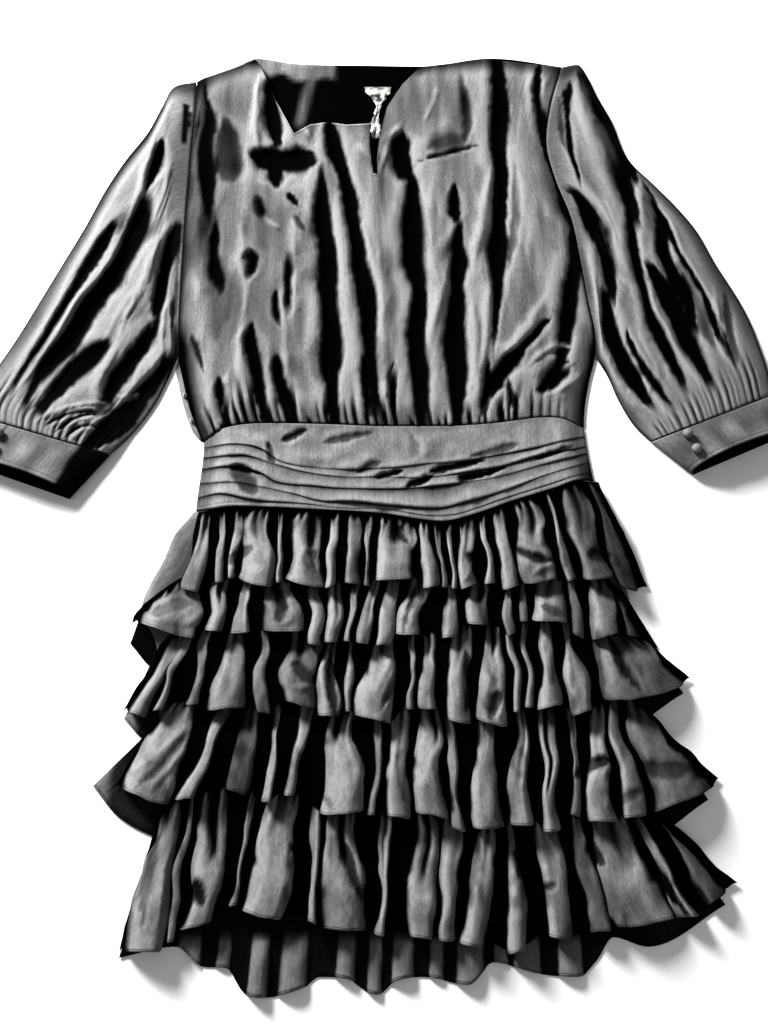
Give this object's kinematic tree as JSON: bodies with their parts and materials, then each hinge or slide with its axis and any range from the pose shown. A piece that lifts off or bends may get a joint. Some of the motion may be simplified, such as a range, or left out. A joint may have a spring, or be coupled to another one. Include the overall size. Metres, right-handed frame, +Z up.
{
  "type": "tiered dress",
  "caption": "Black crepe dress laid flat on its back: split neck, gathered bodice, full sleeves on open cuffs, tucked waistband and a skirt of gathered ruffle tiers.",
  "frame": {"origin": "bottom centre of the box round the dress, on the surface that it lies on", "axes": "+X across the dress to the right of the picture (the wearer's left), +Y from the hem to the shoulders, +Z up out of the surface"},
  "size_m": [0.7624, 0.9066, 0.0282],
  "materials": {
    "black_crepe": "dull crepe, lightly crinkled",
    "pale_satin": "soft satin",
    "stud_metal": "plain"
  },
  "bodies": {
    "root": {"bodice_front": "black_crepe", "bodice_back": "black_crepe", "waistband_front": "black_crepe", "waistband_back": "black_crepe", "skirt_base_front": "black_crepe", "skirt_base_back": "black_crepe", "tier_1_front": "black_crepe", "tier_1_back": "black_crepe", "tier_2_front": "black_crepe", "tier_2_back": "black_crepe", "tier_3_front": "black_crepe", "tier_3_back": "black_crepe", "tier_4_front": "black_crepe", "tier_4_back": "black_crepe", "tier_5_front": "black_crepe", "tier_5_back": "black_crepe", "sleeve_left": "black_crepe", "cuff_left": "black_crepe", "button_left_1": "black_crepe", "button_left_2": "black_crepe", "sleeve_right": "black_crepe", "cuff_right": "black_crepe", "button_right_1": "black_crepe", "button_right_2": "black_crepe", "neck_tape": "pale_satin", "press_stud_1": "stud_metal", "press_stud_2": "stud_metal"}
  },
  "joints": []
}
